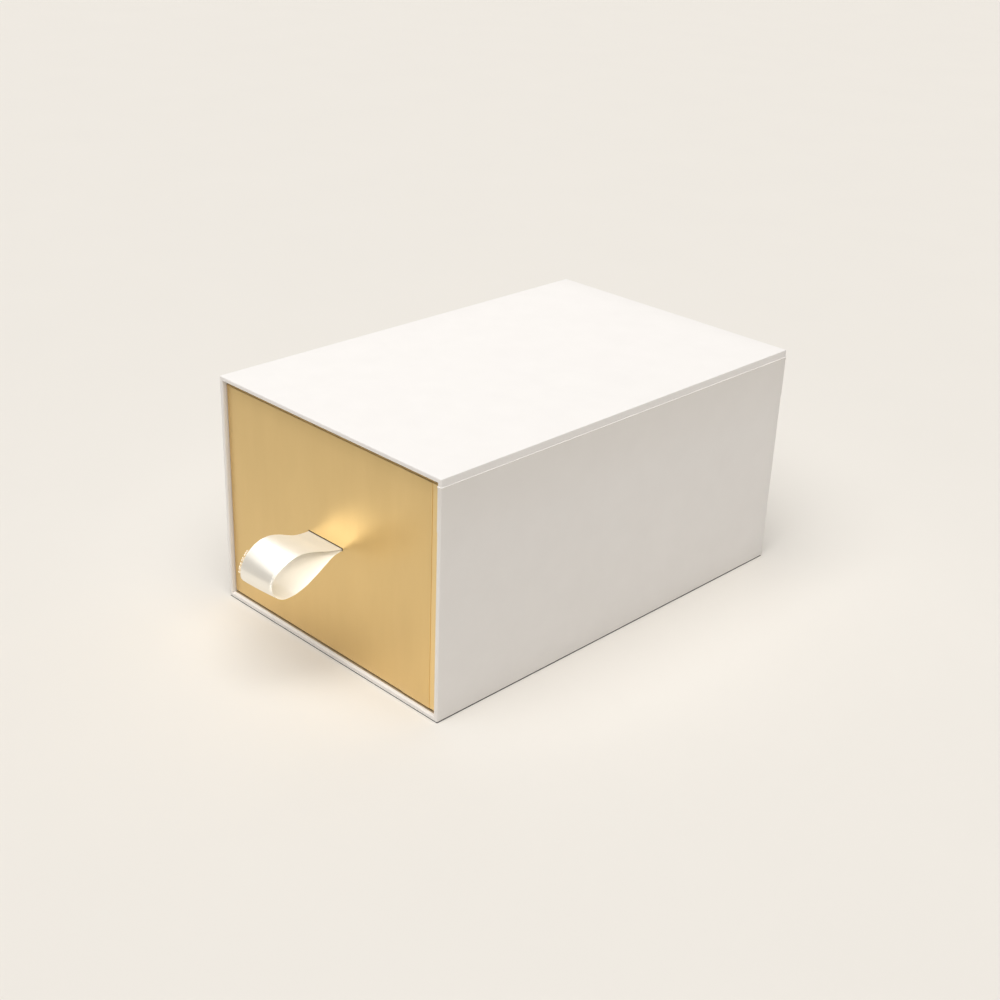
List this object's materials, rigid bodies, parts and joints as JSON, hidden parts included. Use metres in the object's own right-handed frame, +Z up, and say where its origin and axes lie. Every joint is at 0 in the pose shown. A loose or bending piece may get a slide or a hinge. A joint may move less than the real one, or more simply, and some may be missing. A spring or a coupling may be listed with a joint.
{
  "type": "sliding drawer gift box",
  "caption": "Paper-covered rigid sleeve, open at the front, with a drawer that slides in it and is pulled by a looped ribbon.",
  "frame": {"origin": "centre of the sleeve's underside, on the surface that it stands on", "axes": "+X to the right of someone facing the drawer's front, -Y out of the mouth, +Z up"},
  "size_m": [0.1021, 0.185, 0.0786],
  "materials": {
    "white_paper": "satin coated white",
    "gold_paper": "metallic gold, satin",
    "lining_paper": "uncoated off-white",
    "greyboard": "plain grey pulp board",
    "gummed_tape": "brown kraft",
    "satin_ribbon": "ivory satin"
  },
  "bodies": {
    "sleeve": {"sleeve_back_board": "greyboard", "sleeve_back_bottom_tape": "gummed_tape", "sleeve_back_left_tape": "gummed_tape", "sleeve_back_lining": "lining_paper", "sleeve_back_right_tape": "gummed_tape", "sleeve_back_sheet": "white_paper", "sleeve_back_top_tape": "gummed_tape", "sleeve_bottom_board": "greyboard", "sleeve_left_board": "greyboard", "sleeve_lower_left_tape": "gummed_tape", "sleeve_lower_right_tape": "gummed_tape", "sleeve_right_board": "greyboard", "sleeve_top_board": "greyboard", "sleeve_upper_left_tape": "gummed_tape", "sleeve_upper_right_tape": "gummed_tape", "sleeve_wall_lining": "lining_paper", "sleeve_wrap": "white_paper"},
    "drawer": {"drawer_base_board": "greyboard", "drawer_base_front_tape": "gummed_tape", "drawer_base_left_tape": "gummed_tape", "drawer_base_rear_tape": "gummed_tape", "drawer_base_right_tape": "gummed_tape", "drawer_base_sheet": "gold_paper", "drawer_floor_lining": "lining_paper", "drawer_front_board": "greyboard", "drawer_front_left_tape": "gummed_tape", "drawer_front_right_tape": "gummed_tape", "drawer_left_board": "greyboard", "drawer_rear_board": "greyboard", "drawer_rear_left_tape": "gummed_tape", "drawer_rear_right_tape": "gummed_tape", "drawer_right_board": "greyboard", "drawer_wall_lining": "lining_paper", "drawer_wrap": "gold_paper", "pull_ribbon": "satin_ribbon", "ribbon_patch": "gummed_tape"}
  },
  "joints": [
    {"name": "drawer_slide", "type": "slide", "parent": "sleeve", "child": "drawer", "axis": [0, -1, 0], "range_m": [0, 0.165]}
  ]
}
